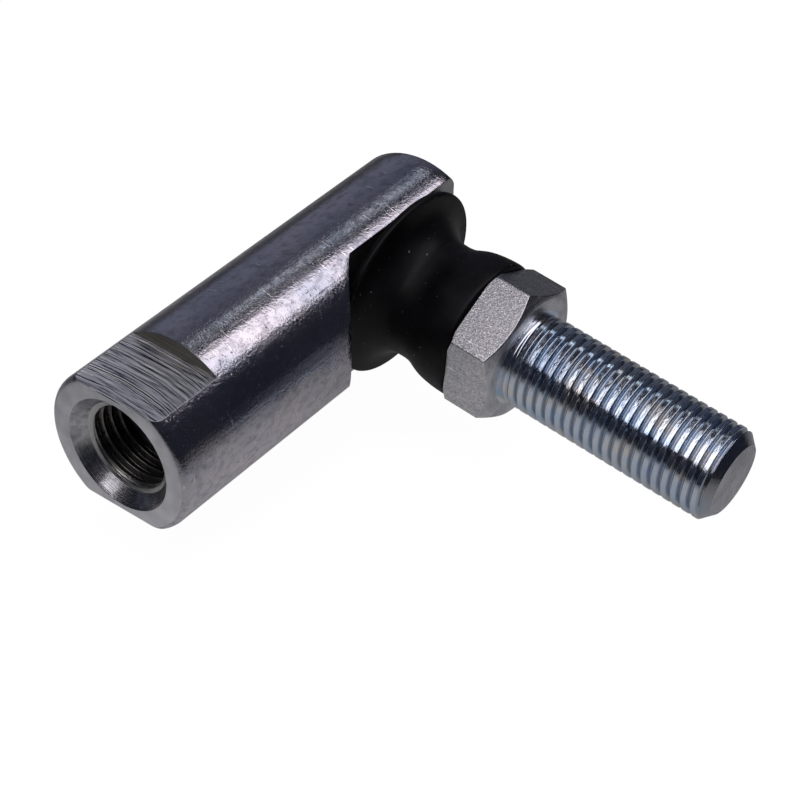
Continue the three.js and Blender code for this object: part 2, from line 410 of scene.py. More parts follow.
def add_socket(skin):
    """The socket's rows. Returns how many of them are its bottom and its thread."""
    rows = socket_rows()
    thread, mouth = rows[:-MOUTH_ROWS], rows[-MOUTH_ROWS:]
    for ring in thread:
        at_mouth = np.isclose(ring[:, 1], SOCKET_END + MOUTH_DEPTH)
        skin.add_ring(ring, np.where(at_mouth, SHARP, SMOOTH), zone=SOCKET)
    skin.add_ring(mouth[0], SHARP, zone=MOUTH)
    for ring in mouth[1:-1]:
        skin.add_ring(ring, zone=MOUTH)
    skin.add_ring(mouth[-1], BEVELLED, zone=FACE)
    return len(thread)


def add_wrench_end(skin):
    """The rounded edge of the socket's face, and the bar with its wrench flats as far as their shoulders."""
    lines = np.where(np.isclose(np.abs(np.sin(SIGNED)), math.sin(WRENCH_EDGE)), BURRED, SMOOTH)
    zone = np.where(WRENCH_RING, WRENCH_FLAT, BARREL)
    burred = np.where(WRENCH_RING, BURRED, SMOOTH)
    bar_start, full = SOCKET_END + FACE_ROUNDING, wrench_section(BAR_RADIUS)
    edge = rounded_corner((FACE_RADIUS, SOCKET_END), FACE_CORNER, (BAR_RADIUS, bar_start))
    face_zone = np.where(WRENCH_RING, WRENCH_FLAT, FACE)
    skin.add(wrench_section(edge[0][0]), SOCKET_END, burred, lines, face_zone)
    for radius, y in edge[1:-1]:
        skin.add(wrench_section(radius), y, SMOOTH, lines, zone)
    for t in between(0, 1, 8):
        skin.add(full, lerp(bar_start, WRENCH_SHOULDER, t), SMOOTH, lines, zone)
    corner, step = np.where(WRENCH_RING, SHARP, SMOOTH), np.where(WRENCH_RING, SHOULDER, BARREL)
    skin.add(full, WRENCH_SHOULDER, corner, zone=step)
    skin.add(round_section(BAR_RADIUS), WRENCH_SHOULDER, burred)


def add_milled_end(skin):
    """The plain bar, the milled side with its curved shoulder, and the closed end."""
    lines = np.where(np.isclose(np.abs(SIGNED), SIDE_EDGE), BEVELLED, SMOOTH)
    zone, bevelled_ring = np.where(SIDE_RING, SIDE, BARREL), np.where(SIDE_RING, BEVELLED, SMOOTH)
    shoulder, bar_end = side_shoulder(), CLOSED_END - CLOSED_ROUNDING
    plain, milled = round_section(BAR_RADIUS), side_section(BAR_RADIUS)
    for t in between(0, 1, 24)[1:]:
        skin.add(plain, lerp(WRENCH_SHOULDER, shoulder, t))
    skin.add(plain, shoulder, bevelled_ring, zone=zone)
    skin.add(milled, shoulder, np.where(SIDE_RING, SHARP, SMOOTH), lines, zone)
    for t in between(0, 1, 12)[1:]:
        skin.add(milled, lerp(shoulder, bar_end, t), SMOOTH, lines, zone)
    edge = rounded_corner((BAR_RADIUS, bar_end), CLOSED_CORNER, (CLOSED_RADIUS, CLOSED_END))
    for radius, y in edge[:-1]:
        skin.add(side_section(radius), y, SMOOTH, lines, zone)
    x, z = side_section(CLOSED_RADIUS)
    skin.add((x, z), CLOSED_END, bevelled_ring, zone=FACE)
    for scale in (0.8, 0.5, 0.0):
        skin.add((x * scale, z * scale), CLOSED_END, zone=FACE)


def housing_grid():
    """What skinned needs for the housing."""
    skin = Skin()
    threaded = add_socket(skin)
    add_wrench_end(skin)
    add_milled_end(skin)
    closing = closing_rows(len(skin.rows), 2, threaded - 1, -TURN_ROWS)
    return *(np.array(values) for values in (skin.rows, skin.rings, skin.lines, skin.zones)), closing


def make_housing():
    obj = skinned("housing_body", *housing_grid())
    cut(obj, skinned("cross_bore", turned_along_x(CROSS_BORE, between(0, 2 * math.pi, 128))))
    bevelled(obj, BURR_WIDTH, "burred", BURR)
    bevelled(obj, EDGE_WIDTH)
    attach(obj, "housing")
    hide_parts("housing")
    return obj


# ---- Ball stud -----------------------------------------------------------------------------------

# Angles round the stud, with a column on each corner of the hexagon.
STUD_COLUMNS = HEX_TURN + between(0, 2 * math.pi, 216)


def hex_radius():
    """The hexagon's outline as a radius for each column. Corners are at whole sixths of a turn."""
    sector = math.pi / 3
    within = np.mod(STUD_COLUMNS - HEX_TURN, sector) - sector / 2
    return HEX_FLATS / 2 / np.cos(within)


def hex_rows():
    """(x, radius) rows over the hexagon from its back to its front, and the rows that are edges."""
    outline = hex_radius()
    back = HEX_BACK + np.maximum(outline - HEX_BACK_RADIUS, 0) / HEX_SLOPE
    front = HEX_FRONT - (outline - HEX_FRONT_RADIUS) / HEX_SLOPE
    start = np.minimum(outline, HEX_BACK_RADIUS)
    full = np.full(outline.shape, 1.0)
    rows = [(HEX_BACK * full, start)]
    rows += [(lerp(HEX_BACK, back, t), lerp(start, outline, t)) for t in (0.5, 1.0)]
    rows += [(lerp(back, front, t), outline) for t in (0.1, 0.3, 0.5, 0.7, 0.9, 1.0)]
    rows += [(lerp(front, HEX_FRONT, t), lerp(outline, HEX_FRONT_RADIUS, t)) for t in (0.33, 0.66, 1.0)]
    edges = {0: SHARP, 1: SHARP, 2: SHARP, 8: BURRED, 11: BEVELLED}
    return rows, edges


def stud_thread_rows():
    """(x, radius) rows over the thread, from the hexagon to the chamfered tip."""
    start, end = HEX_FRONT, STUD_TIP
    profile = thread_profile(THREAD_RADIUS, STUD_MINOR, 0.46, 0.1)
    x, radius = helix_rows(start, end, profile, STUD_COLUMNS)
    run_in = np.clip((x - start - THREAD_START_LENGTH) / (RUN_OUT * PITCH), 0, 1)
    radius = lerp(THREAD_START_RADIUS, radius, run_in)
    cone = TIP_RADIUS + (end - x) * (THREAD_RADIUS - TIP_RADIUS) / TIP_CHAMFER
    return list(zip(x, np.minimum(radius, cone)))


def shank_rows():
    """(x, radius) rows over the ball, the neck and the collar, and the rows that are edges."""
    neck_start = math.sqrt(BALL_RADIUS**2 - NECK_RADIUS**2)
    ball = np.linspace(-math.pi / 2, math.asin(neck_start / BALL_RADIUS), 40)
    profile = [(BALL_RADIUS * math.sin(a), BALL_RADIUS * math.cos(a)) for a in ball]
    profile += [(NECK_END, NECK_RADIUS), (COLLAR_START, COLLAR_RADIUS), (HEX_BACK, COLLAR_RADIUS)]
    full, last = np.ones(STUD_COLUMNS.shape), len(profile) - 1
    return [(x * full, r * full) for x, r in profile], {last: SHARP, last - 1: SHARP, last - 3: SHARP}


def stud_grid():
    """What skinned needs for the ball stud."""
    full = np.ones(STUD_COLUMNS.shape)
    rows, finishes = shank_rows()
    hexagon, edges = hex_rows()
    finishes.update({len(rows) + i: finish for i, finish in edges.items()})
    first_side, last_side = len(rows) + 2, len(rows) + 8
    first_hex = len(rows) - 1
    rows += hexagon
    rows += [(HEX_FRONT * full, r * full) for r in SHOULDER_RADII]
    thread_start = len(rows)
    finishes[thread_start] = SHARP
    rows += stud_thread_rows()
    thread_end = len(rows) - 1
    finishes[thread_end] = SHARP
    rows += [(STUD_TIP * full, r * full) for r in TIP_RADII]

    x, radius = (np.array(part) for part in zip(*rows))
    grid = np.stack([x, -radius * np.sin(STUD_COLUMNS), radius * np.cos(STUD_COLUMNS)], axis=-1)
    rings, lines, zones = (np.full(x.shape, value) for value in (SMOOTH, SMOOTH, SHANK))
    for edge, finish in finishes.items():
        rings[edge] = finish
    zones[first_hex:] = HEX_FACE
    zones[first_side:last_side] = HEX_SIDE
    zones[thread_start - 1 : thread_end] = THREAD
    row = np.arange(len(x))[:, None]
    in_thread = (row >= thread_start) & (row <= thread_end)
    rings[in_thread & (np.isclose(x, HEX_FRONT) | np.isclose(x, STUD_TIP))] = SHARP
    lines[first_side:last_side, :: len(STUD_COLUMNS) // 6] = BURRED
    return drooped(grid), rings, lines, zones, closing_rows(len(grid), thread_start, thread_end, TURN_ROWS)


def make_ball_stud():
    obj = skinned("stud", *stud_grid())
    bevelled(obj, HEX_EDGE_WIDTH, "burred", HEX_EDGE)
    bevelled(obj, EDGE_WIDTH)
    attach(obj, "ball_stud")
    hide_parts("ball_stud")
    return obj


# ---- Dust boot -----------------------------------------------------------------------------------

# Where along the stud the boot's two pieces meet, and where the lower one bends.
BOOT_SEAM = 8.0
BEND_START, BEND_END = 4.9, 7.7
# (radius, x) from the foot up to the cuff, and back down inside.
BOOT_OUTSIDE = [
    (11.15, 4.25), (11.4, 4.4), (11.48, 4.75), (11.42, 5.05), (11.2, 5.2), (10.6, 5.3), (9.8, 5.5),
    (9.05, 5.85), (8.45, 6.35), (7.98, 6.9), (7.64, 7.45), (7.4, 8.0), (7.27, 8.6), (7.23, 9.3),
    (7.25, 10.1), (7.4, 10.9), (7.72, 11.7), (8.02, 12.5), (8.22, 13.4), (8.36, 14.5), (8.42, 15.6),
    (8.4, 16.2), (8.28, 16.48), (8.0, 16.6),
]
BOOT_INSIDE = [
    (6.4, 16.6), (6.38, 12.9), (6.38, 11.4), (6.48, 10.3), (6.66, 9.1), (6.68, 8.0), (7.0, 7.0), (7.7, 6.0),
    (8.6, 5.1), (9.6, 4.55), (10.6, 4.3),
]
# How far the pressed foot stays off the flat, and how far past the flat's edge the pressing fades out.
BOOT_LIFT = 0.06
PRESS_FADE = 1.6


def smoothstep(t):
    t = np.clip(t, 0, 1)
    return t * t * (3 - 2 * t)


def boot_mesh(name, profile, corners):
    """Part of the boot from a (radius, x) outline, tilted with the stud, its corners left sharp. It is
    pressed out of shape where the tilt would take it into the housing's flat."""
    angles = between(0, 2 * math.pi, 192)
    grid = drooped(turned_along_x(profile + profile[:1], angles))
    over_flat = smoothstep((SIDE_FLAT_HALF_WIDTH + PRESS_FADE - np.abs(grid[..., 2])) / PRESS_FADE)
    least = np.where(over_flat > 0, SIDE_FLAT + BOOT_LIFT, -np.inf)
    pressed = np.maximum(grid[..., 0], least)
    grid[..., 0] = grid[..., 0] + (pressed - grid[..., 0]) * over_flat
    rings = np.zeros(grid.shape[:2], int)
    for row in corners:
        rings[row] = SHARP
    return skinned(name, grid, rings, np.zeros(grid.shape[:2], int))


def along_stud(x):
    """A point on the stud's axis, in metres."""
    return BALL + DROOPED @ Vector((x * MM, 0, 0))


def refined(points, steps=4):
    """A profile with points added along a smooth curve through its corners."""
    p = np.array(points, float)
    last, out = len(p) - 1, []
    for i in range(last):
        a, b, c, d = p[max(i - 1, 0)], p[i], p[i + 1], p[min(i + 2, last)]
        square, cube = 2 * a - 5 * b + 4 * c - d, 3 * b - a - 3 * c + d
        for t in between(0, 1, steps):
            out.append(tuple(0.5 * (2 * b + (c - a) * t + square * t**2 + cube * t**3)))
    return [*out, tuple(p[-1])]


def make_boot():
    outside = refined(BOOT_OUTSIDE)
    lower = [point for point in outside if point[1] <= BOOT_SEAM + 1e-6]
    upper = [point for point in outside if point[1] >= BOOT_SEAM - 1e-6]
    inside_upper = [point for point in BOOT_INSIDE if point[1] >= BOOT_SEAM]
    inside_lower = [point for point in BOOT_INSIDE if point[1] <= BOOT_SEAM]
    foot = boot_mesh("boot_foot", lower + inside_lower, [len(lower) - 1, len(lower)])
    outline = upper + inside_upper
    cuff = boot_mesh("boot_collar", outline, [0, len(upper) - 1, len(upper), len(outline)])
    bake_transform(foot, "housing", "boot_waist", start=along_stud(BEND_START), end=along_stud(BEND_END))
    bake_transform(cuff, "boot_waist", "boot_cuff", start=along_stud(BOOT_SEAM + 0.2), end=along_stud(11.5))
    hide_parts("boot_base", "boot_waist")
    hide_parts("boot_cuff")
    return foot, cuff


# ---- Materials -----------------------------------------------------------------------------------


class Surface:
    """A material's nodes. Patterns are placed in mm about the ball, and turned with the stud by the tilt."""

    def __init__(self, name, metallic=1.0, tilt=0.0):
        self.material = bpy.data.materials.new(name)
        self.material.use_nodes = True
        self.tree = self.material.node_tree
        self.shader = self.tree.nodes["Principled BSDF"]
        self.shader.inputs["Metallic"].default_value = metallic
        where = self.tree.nodes.new("ShaderNodeTexCoord").outputs["Object"]
        about_ball = {0: where, 1: BALL, 2: (0, tilt, 0), 3: (MM, MM, MM)}
        self.place = self.node("Mapping", about_ball, vector_type="TEXTURE").outputs[0]

    def node(self, kind, inputs, **settings):
        made = self.tree.nodes.new("ShaderNode" + kind)
        for name, value in settings.items():
            setattr(made, name, value)
        for socket, value in inputs.items():
            self.feed(made.inputs[socket], value)
        return made

    def feed(self, socket, value):
        if isinstance(value, bpy.types.NodeSocket):
            self.tree.links.new(value, socket)
        else:
            socket.default_value = value

    def math(self, operation, a, b=0.0):
        return self.node("Math", {0: a, 1: b}, operation=operation).outputs[0]

    def axes(self):
        return tuple(self.node("SeparateXYZ", {0: self.place}).outputs)

    def distance(self, a, b):
        """How far a place is from an axis, from its two coordinates across it."""
        squares = (self.math("MULTIPLY", part, part) for part in (a, b))
        return self.math("SQRT", self.math("ADD", *squares))

    def noise(self, size, stretch=(1, 1, 1), detail=3.0, place=None):
        """Noise from 0 to 1, with features of this size in mm, divided by the stretch along each axis."""
        scale = tuple(s / size for s in stretch)
        scaled = self.node("VectorMath", {0: place or self.place, 1: scale}, operation="MULTIPLY").outputs[0]
        return self.node("TexNoise", {"Vector": scaled, "Scale": 1.0, "Detail": detail}).outputs[0]

    def lines(self, position, size, detail=2.0):
        """Noise that changes only along a position in mm."""
        settings = {"W": self.math("MULTIPLY", position, 1 / size), "Scale": 1.0, "Detail": detail}
        return self.node("TexNoise", settings, noise_dimensions="1D").outputs[0]

    def ranged(self, value, low, high, to_low, to_high):
        return self.node("MapRange", {0: value, 1: low, 2: high, 3: to_low, 4: to_high}).outputs[0]

    def colours(self, value, stops):
        """The colour at a value, from (position, colour) stops."""
        ramp = self.node("ValToRGB", {0: value})
        band = ramp.color_ramp.elements
        while len(band) < len(stops):
            band.new(1.0)
        for element, (position, colour) in zip(band, stops):
            element.position, element.color = position, (*colour, 1)
        return ramp.outputs[0]

    def mixed(self, share, first, second):
        """The second colour where share is 1, and the first where it is 0."""
        inputs = {0: share}
        for socket, value in ((6, first), (7, second)):
            inputs[socket] = value if isinstance(value, bpy.types.NodeSocket) else (*value, 1)
        return self.node("Mix", inputs, data_type="RGBA").outputs[2]

    def bump(self, *layers):
        """Relief from (height from 0 to 1, depth in mm) layers, one on another."""
        normal = None
        for height, depth in layers:
            made = self.node("Bump", {"Height": height, "Distance": depth * MM})
            if normal:
                self.tree.links.new(normal, made.inputs["Normal"])
            normal = made.outputs[0]
        self.tree.links.new(normal, self.shader.inputs["Normal"])

    def looks(self, colour, roughness):
        self.feed(self.shader.inputs["Base Color"], colour)
        self.feed(self.shader.inputs["Roughness"], roughness)
        return self.material


def dress(obj, *materials):
    """Gives obj its materials. A face keeps the number of the material it was made with."""
    zones = [min(polygon.material_index, len(materials) - 1) for polygon in obj.data.polygons]
    obj.data.materials.clear()
    for material in materials:
        obj.data.materials.append(material)
    obj.data.polygons.foreach_set("material_index", zones)


def scratches(surface, size, threshold, direction, place=None):
    """Fine straight scratches, 1 on a scratch: long thin features of noise that pass a threshold."""
    streaks = surface.noise(size, direction, detail=1.0, place=place)
    return surface.ranged(streaks, threshold, threshold + 0.03, 0, 1)


def barrel_zinc():
    """Drawn bar, zinc plated: grain, pits, stains, scratches and a blue passivated tone."""
    surface = Surface("barrel_zinc")
    grain = surface.noise(0.8, (1, 3.0, 1), detail=4.0)
    speckle = surface.noise(0.3, (1, 1.6, 1), detail=2.0)
    ripples = surface.noise(1.0, (1, 0.06, 1), detail=2.0)
    patches, stains = surface.noise(5.0, (1, 0.5, 1)), surface.noise(0.8, (1, 0.7, 1), detail=5.0)
    pits = surface.ranged(surface.noise(0.4, (1, 1.3, 1), detail=2.0), 0.66, 0.74, 1, 0)
    marks = scratches(surface, 3.2, 0.72, (1.0, 9.0, 2.0))
    plate = [(0.3, (0.43, 0.45, 0.53)), (0.5, (0.56, 0.54, 0.59)), (0.72, (0.63, 0.59, 0.61))]
    tone = surface.colours(patches, plate)
    stained = surface.mixed(surface.ranged(stains, 0.46, 0.7, 0, 0.5), tone, (0.2, 0.195, 0.215))
    worn = surface.mixed(marks, stained, (0.85, 0.8, 0.82))
    roughness = surface.ranged(stains, 0.3, 0.7, 0.12, 0.24)
    surface.bump((ripples, 0.035), (grain, 0.016), (speckle, 0.026), (pits, 0.014), (marks, 0.004))
    return surface.looks(surface.mixed(pits, (0.2, 0.2, 0.24), worn), roughness)


def faced_zinc():
    """A faced-off end under plating: matte grey with faint rings and stains."""
    surface = Surface("faced_zinc")
    x, _, z = surface.axes()
    rings = surface.lines(surface.distance(x, z), 0.35)
    stains = surface.noise(2.2, detail=4.0)
    tone = surface.colours(stains, [(0.3, (0.7, 0.7, 0.72)), (0.7, (0.86, 0.86, 0.88))])
    surface.bump((rings, 0.008), (surface.noise(0.35), 0.016))
    return surface.looks(tone, surface.ranged(stains, 0.3, 0.7, 0.5, 0.38))


def countersunk_zinc():
    """The turned cone of the socket's mouth, with tool rings and a little chatter."""
    surface = Surface("countersunk_zinc")
    _, y, _ = surface.axes()
    rings = surface.lines(y, 0.09)
    chatter = surface.noise(0.7, (1, 0.3, 1), detail=4.0)
    tone = surface.colours(chatter, [(0.3, (0.28, 0.28, 0.29)), (0.7, (0.58, 0.58, 0.6))])
    surface.bump((rings, 0.012), (chatter, 0.03))
    return surface.looks(tone, surface.ranged(rings, 0.3, 0.7, 0.2, 0.34))


def tapped_steel():
    """The socket's thread, hardly plated and oily: dark grey, darker towards the bottom as painted shade."""
    surface = Surface("tapped_steel")
    _, y, _ = surface.axes()
    # Painted light and shade: the colour is lightest at the lead and darkens with depth into the socket.
    full_shade_depth = 9.0
    depth = surface.ranged(y, SOCKET_END + MOUTH_DEPTH, SOCKET_END + full_shade_depth, 0, 1)
    lead = LEAD_DEPTH / (full_shade_depth - MOUTH_DEPTH)
    stops = [(0.0, (0.6, 0.6, 0.58)), (lead, (0.5, 0.49, 0.47)), (lead + 0.03, (0.3, 0.29, 0.27))]
    tone = surface.colours(depth, [*stops, (0.3, (0.22, 0.215, 0.2)), (1.0, (0.07, 0.066, 0.062))])
    tears = surface.noise(0.5, (1, 2.4, 1), detail=4.0)
    surface.bump((tears, 0.03))
    return surface.looks(tone, surface.ranged(tears, 0.3, 0.7, 0.24, 0.42))


def milled_zinc():
    """A wrench flat: wide arcs left by the cutter as it fed across, in fine lines and deeper furrows."""
    surface = Surface("milled_zinc")
    x, y, _ = surface.axes()
    arc_middle, arc_diameter = -1.5, 60
    off_centre = surface.math("ADD", x, -arc_middle)
    bow = surface.math("MULTIPLY", surface.math("MULTIPLY", off_centre, off_centre), 1 / arc_diameter)
    wander = surface.ranged(surface.noise(5.0), 0, 1, -0.3, 0.3)
    across = surface.math("ADD", surface.math("ADD", y, bow), wander)
    fine, furrows = surface.lines(across, 0.16, 1.0), surface.lines(across, 0.5, 2.0)
    broken = surface.noise(0.4, (0.1, 1.6, 1), detail=3.0)
    torn_and_ridge_shading = surface.math("ADD", surface.math("MULTIPLY", fine, 0.6), surface.math("MULTIPLY", broken, 0.4))
    # Tool marks with painted highlight and shade: the colour is near white on the fine lines' ridges and dark
    # slate between them.
    stops = [(0.42, (0.17, 0.175, 0.21)), (0.465, (0.7, 0.72, 0.78)), (0.5, (1.0, 1.0, 1.0))]
    tone = surface.colours(torn_and_ridge_shading, stops)
    surface.bump((furrows, 0.28), (fine, 0.1), (broken, 0.06))
    return surface.looks(tone, surface.ranged(torn_and_ridge_shading, 0.42, 0.54, 0.24, 0.5))


def shoulder_painted_shade():
    """The step behind a wrench flat, left dull by the side of the cutter and coloured dark olive as painted
    shade.
    """
    surface = Surface("shoulder_painted_shade")
    x, _, z = surface.axes()
    rubs = surface.lines(surface.math("ADD", z, surface.math("MULTIPLY", x, 0.05)), 0.2)
    # Painted shade: the step is coloured dark olive for the shade it stands in.
    tone = surface.colours(rubs, [(0.3, (0.16, 0.16, 0.13)), (0.7, (0.32, 0.31, 0.27))])
    surface.bump((rubs, 0.03), (surface.noise(0.4), 0.02))
    return surface.looks(tone, surface.ranged(rubs, 0.3, 0.7, 0.4, 0.55))


def end_milled_zinc():
    """The milled side: half rings of an end mill fed along the bar."""
    surface = Surface("end_milled_zinc")
    _, y, z = surface.axes()
    margin = 20  # keeps the root real over the whole width of the flat
    square = surface.math("SUBTRACT", CUTTER_RADIUS**2 + margin, surface.math("MULTIPLY", z, z))
    along = surface.math("ADD", y, surface.math("SQRT", square))
    marks, fine = surface.lines(along, 0.5), surface.lines(along, 0.12)
    tone = surface.colours(marks, [(0.3, (0.4, 0.42, 0.42)), (0.7, (0.6, 0.61, 0.6))])
    surface.bump((marks, 0.05), (fine, 0.01))
    return surface.looks(tone, surface.ranged(fine, 0.3, 0.7, 0.28, 0.4))


def rubbed_burr_highlight():
    """Edges rolled over by the cutter and rubbed bright, coloured near white as a painted highlight."""
    surface = Surface("rubbed_burr_highlight")
    nicks = surface.noise(0.5, detail=3.0)
    # Partly real rubbed metal, partly painted highlight: the burr's tone runs up to white.
    tone = surface.colours(nicks, [(0.35, (0.7, 0.66, 0.69)), (0.6, (1.0, 0.97, 0.99))])
    surface.bump((nicks, 0.25))
    return surface.looks(tone, surface.ranged(nicks, 0.3, 0.7, 0.4, 0.6))


def shank_steel():
    """The ball and its neck, ground and polished, with faint grinding rings."""
    surface = Surface("shank_steel", tilt=DROOP)
    x, _, _ = surface.axes()
    rings = surface.lines(x, 0.2)
    tone = surface.colours(rings, [(0.3, (0.5, 0.5, 0.52)), (0.7, (0.6, 0.6, 0.62))])
    surface.bump((rings, 0.003))
    return surface.looks(tone, surface.ranged(rings, 0.3, 0.7, 0.12, 0.2))


def forged_zinc():
    """The hexagon's sides: a fine crystalline plate with scratches both ways."""
    surface = Surface("forged_zinc", tilt=DROOP)
    crystals = surface.noise(0.24, (0.7, 1.7, 1.7), detail=3.0)
    stains = surface.noise(2.4, detail=4.0)
    along = scratches(surface, 1.6, 0.68, (0.6, 6.0, 6.0))
    turned = surface.node("Mapping", {0: surface.place, 2: (0.5, 0.4, 0.9)}, vector_type="POINT").outputs[0]
    across = scratches(surface, 1.8, 0.68, (0.8, 8.0, 5.0), turned)
    marks = surface.math("MAXIMUM", along, across)
    stops = [(0.32, (0.4, 0.4, 0.43)), (0.5, (0.62, 0.615, 0.64)), (0.68, (0.79, 0.78, 0.8))]
    plate = surface.colours(crystals, stops)
    stained = surface.mixed(surface.ranged(stains, 0.45, 0.7, 0, 0.3), plate, (0.42, 0.42, 0.43))
    surface.bump((crystals, 0.02), (marks, 0.008))
    colour = surface.mixed(marks, stained, (0.88, 0.86, 0.88))
    return surface.looks(colour, surface.ranged(crystals, 0.35, 0.65, 0.3, 0.22))


def hex_edge_zinc():
    """The hexagon's edges, darker than its sides and mottled."""
    surface = Surface("hex_edge_zinc", tilt=DROOP)
    dark_mottle = surface.noise(0.5, detail=3.0)
    tone = surface.colours(dark_mottle, [(0.4, (0.05, 0.05, 0.06)), (0.6, (0.3, 0.3, 0.32))])
    surface.bump((dark_mottle, 0.03))
    return surface.looks(tone, surface.ranged(dark_mottle, 0.3, 0.7, 0.4, 0.3))


def washer_zinc():
    """The hexagon's turned faces and the stud's tip."""
    surface = Surface("washer_zinc", tilt=DROOP)
    _, y, z = surface.axes()
    rings, stains = surface.lines(surface.distance(y, z), 0.3), surface.noise(2.0, detail=4.0)
    grain = surface.noise(0.4, detail=3.0)
    tone = surface.colours(stains, [(0.35, (0.54, 0.545, 0.58)), (0.65, (0.76, 0.765, 0.8))])
    tone = surface.mixed(surface.ranged(grain, 0.5, 0.7, 0, 0.4), tone, (0.3, 0.3, 0.32))
    surface.bump((rings, 0.012), (grain, 0.03))
    return surface.looks(tone, surface.ranged(rings, 0.3, 0.7, 0.26, 0.38))


def rolled_zinc():
    """The stud's thread: bright rolled crests, bluish and yellowish by turns, with nicks along the crests,
    and painted shade darkening the roots.
    """
    surface = Surface("rolled_zinc", tilt=DROOP)
    tint = surface.noise(2.4, (0.5, 1, 1), detail=2.0)
    nicks = surface.noise(0.55, (1.5, 0.8, 0.8), detail=3.0)
    _, y, z = surface.axes()
    # Painted shade: the thread's roots are darkened towards near black.
    root_shade = surface.ranged(surface.distance(y, z), THREAD_RADIUS - 0.3, THREAD_RADIUS - 0.08, 0.35, 0)
    stops = [(0.3, (0.56, 0.69, 0.86)), (0.5, (0.68, 0.76, 0.86)), (0.72, (0.8, 0.77, 0.72))]
    bright = surface.colours(tint, stops)
    tone = surface.mixed(root_shade, bright, (0.12, 0.12, 0.14))
    surface.bump((nicks, 0.02))
    return surface.looks(tone, surface.ranged(nicks, 0.35, 0.65, 0.1, 0.22))


def boot_rubber():
    """Moulded black rubber: a fine satin grain, soft wiped patches and a few specks of dust."""
    surface = Surface("boot_rubber", metallic=0.0, tilt=DROOP)
    grain, patches = surface.noise(0.3, detail=2.0), surface.noise(4.0, detail=3.0)
    dust = surface.ranged(surface.noise(0.5, detail=1.0), 0.765, 0.78, 0, 1)
    skin = surface.colours(patches, [(0.35, (0.003, 0.003, 0.0036)), (0.7, (0.008, 0.0077, 0.0092))])
    surface.shader.inputs["Specular IOR Level"].default_value = 0.17
    surface.bump((grain, 0.012), (patches, 0.06), (dust, 0.03))
    tone = surface.mixed(dust, skin, (0.16, 0.16, 0.17))
    return surface.looks(tone, surface.ranged(patches, 0.3, 0.7, 0.36, 0.5))


def seat_nylon():
    """The seat cup: off-white moulded nylon, faintly clouded."""
    surface = Surface("seat_nylon", metallic=0.0)
    flow = surface.noise(3.0, (0.4, 1, 1), detail=3.0)
    tone = surface.colours(flow, [(0.3, (0.76, 0.73, 0.64)), (0.7, (0.84, 0.82, 0.75))])
    surface.shader.inputs["Subsurface Weight"].default_value = 0.1
    surface.bump((surface.noise(0.4), 0.01))
    return surface.looks(tone, surface.ranged(flow, 0.3, 0.7, 0.4, 0.5))


def race_bronze():
    """The split race: turned bronze, stained in places."""
    surface = Surface("race_bronze")
    x, _, _ = surface.axes()
    rings, stains = surface.lines(x, 0.18), surface.noise(2.0, detail=4.0)
    tone = surface.colours(stains, [(0.3, (0.42, 0.25, 0.12)), (0.7, (0.66, 0.44, 0.22))])
    surface.bump((rings, 0.008))
    return surface.looks(tone, surface.ranged(rings, 0.3, 0.7, 0.25, 0.4))


def spring_steel():
    """The disc spring and the retaining ring: dark rolled steel with scale."""
    surface = Surface("spring_steel")
    scale, rolled = surface.noise(1.2, detail=4.0), surface.noise(0.5, (1, 0.2, 1), detail=2.0)
    tone = surface.colours(scale, [(0.3, (0.12, 0.12, 0.13)), (0.7, (0.3, 0.3, 0.32))])
    surface.bump((rolled, 0.008))
    return surface.looks(tone, surface.ranged(scale, 0.3, 0.7, 0.3, 0.45))


def dress_pieces(housing, stud, boot):
    """Materials for every piece. The housing's and the stud's come in the order of their zones."""
    on_housing = [barrel_zinc, faced_zinc, countersunk_zinc, tapped_steel, milled_zinc, shoulder_painted_shade,
                  end_milled_zinc, rubbed_burr_highlight]
    on_stud = [shank_steel, forged_zinc, washer_zinc, rolled_zinc, hex_edge_zinc]
    for piece, surfaces in ((housing, on_housing), (stud, on_stud)):
        dress(piece, *(make_surface() for make_surface in surfaces))
    rubber = boot_rubber()
    for piece in boot:
        dress(piece, rubber)
    bronze, steel = race_bronze(), spring_steel()
    inside = {"seat_cup": seat_nylon(), "race_half_upper": bronze, "race_half_lower": bronze,
              "disc_spring": steel, "retaining_ring": steel}
    for node, material in inside.items():
        for slot in bpy.data.objects[node].material_slots:
            slot.material = material


# ---- Stage ---------------------------------------------------------------------------------------

CAMERA_FROM_BALL = (131.28, -170.0, 163.8)
VIEW_AZIMUTH, VIEW_ELEVATION, VIEW_ROLL = (math.radians(angle) for angle in (-36.67, 40.66, -1.62))
LENS = 105.56


def make_camera():
    """A camera where the photograph was taken from."""
    data = bpy.data.cameras.new("camera")
    data.lens = LENS
    data.sensor_width = 36
    data.clip_start, data.clip_end = 0.01, 20
    camera = bpy.data.objects.new("camera", data)
    bpy.context.scene.collection.objects.link(camera)
    place = Matrix.Translation(BALL + Vector(CAMERA_FROM_BALL) * MM)
    turn = Matrix.Rotation(-VIEW_AZIMUTH, 4, "Z") @ Matrix.Rotation(math.pi / 2 - VIEW_ELEVATION, 4, "X")
    camera.matrix_world = place @ turn @ Matrix.Rotation(-VIEW_ROLL, 4, "Z")
    bpy.context.scene.camera = camera


def plane(name, size, z):
    """A level square about the origin, in metres."""
    half = size / 2
    corners = [(-half, -half, z), (half, -half, z), (half, half, z), (-half, half, z)]
    mesh = bpy.data.meshes.new(name)
    mesh.from_pydata(corners, [], [(0, 1, 2, 3)])
    obj = bpy.data.objects.new(name, mesh)
    bpy.context.scene.collection.objects.link(obj)
    return obj


